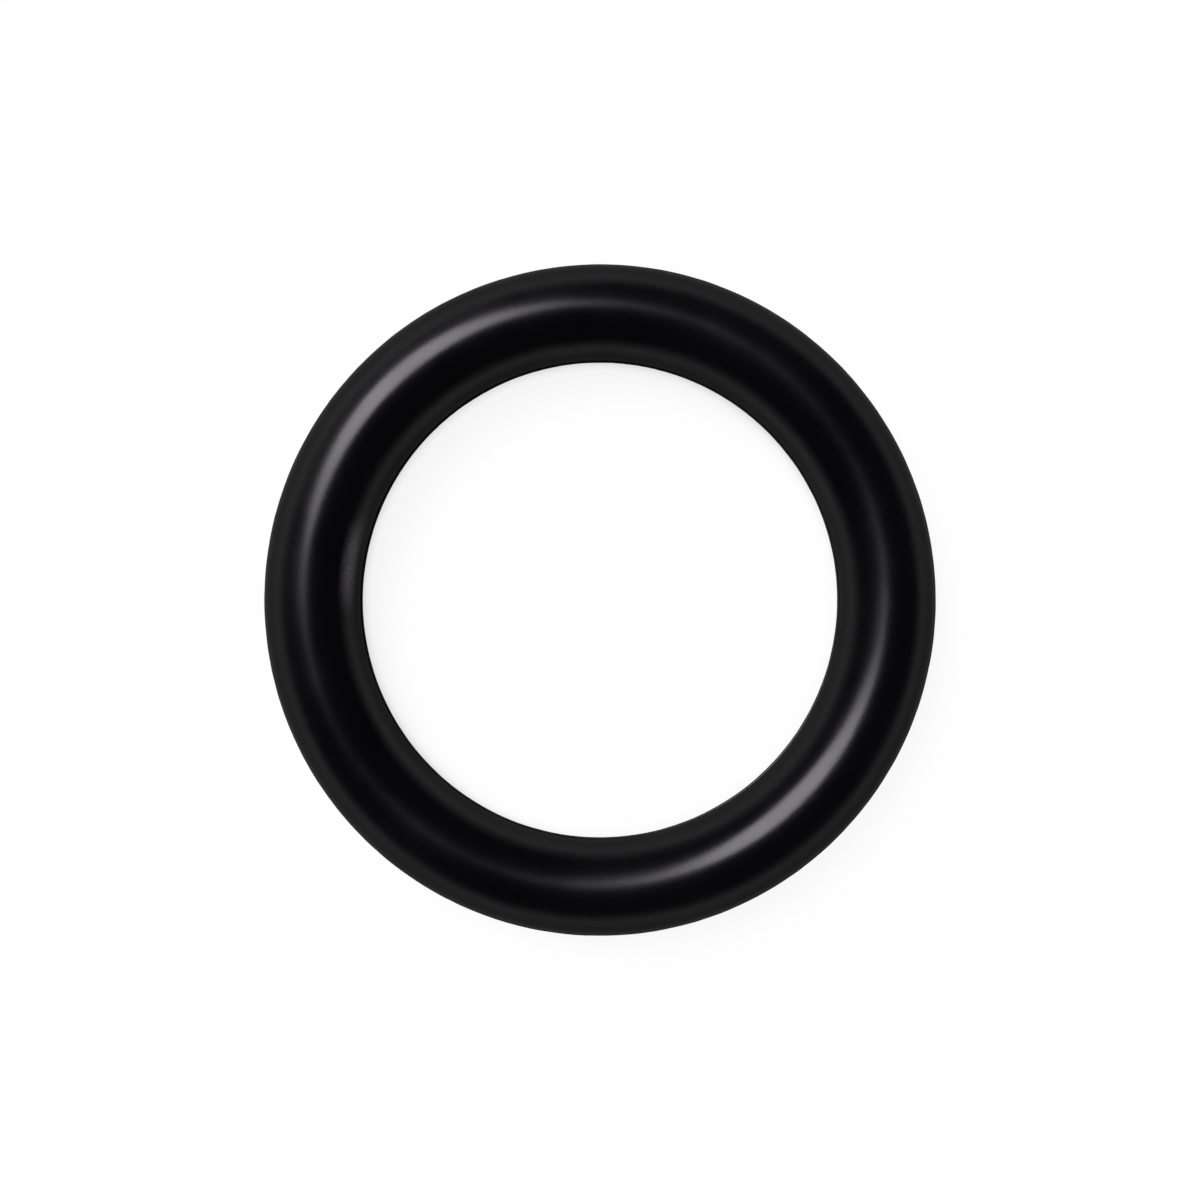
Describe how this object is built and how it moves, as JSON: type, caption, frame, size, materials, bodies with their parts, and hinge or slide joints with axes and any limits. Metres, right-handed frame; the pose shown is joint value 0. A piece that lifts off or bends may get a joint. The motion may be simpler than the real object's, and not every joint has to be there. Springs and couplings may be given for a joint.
{
  "type": "rubber o-ring",
  "caption": "Round-section rubber sealing ring that is squeezed in a groove to stop liquid or gas from passing between two parts.",
  "frame": {"origin": "centre of the ring at mid-height, in the plane of its parting line", "axes": "+Z along the ring's axis, upwards as it lies flat; +X and +Y are any two radii at right angles"},
  "size_m": [0.021, 0.021, 0.003],
  "materials": {
    "black_rubber": "satin, as moulded"
  },
  "bodies": {
    "root": {"o_ring": "black_rubber"}
  },
  "joints": []
}
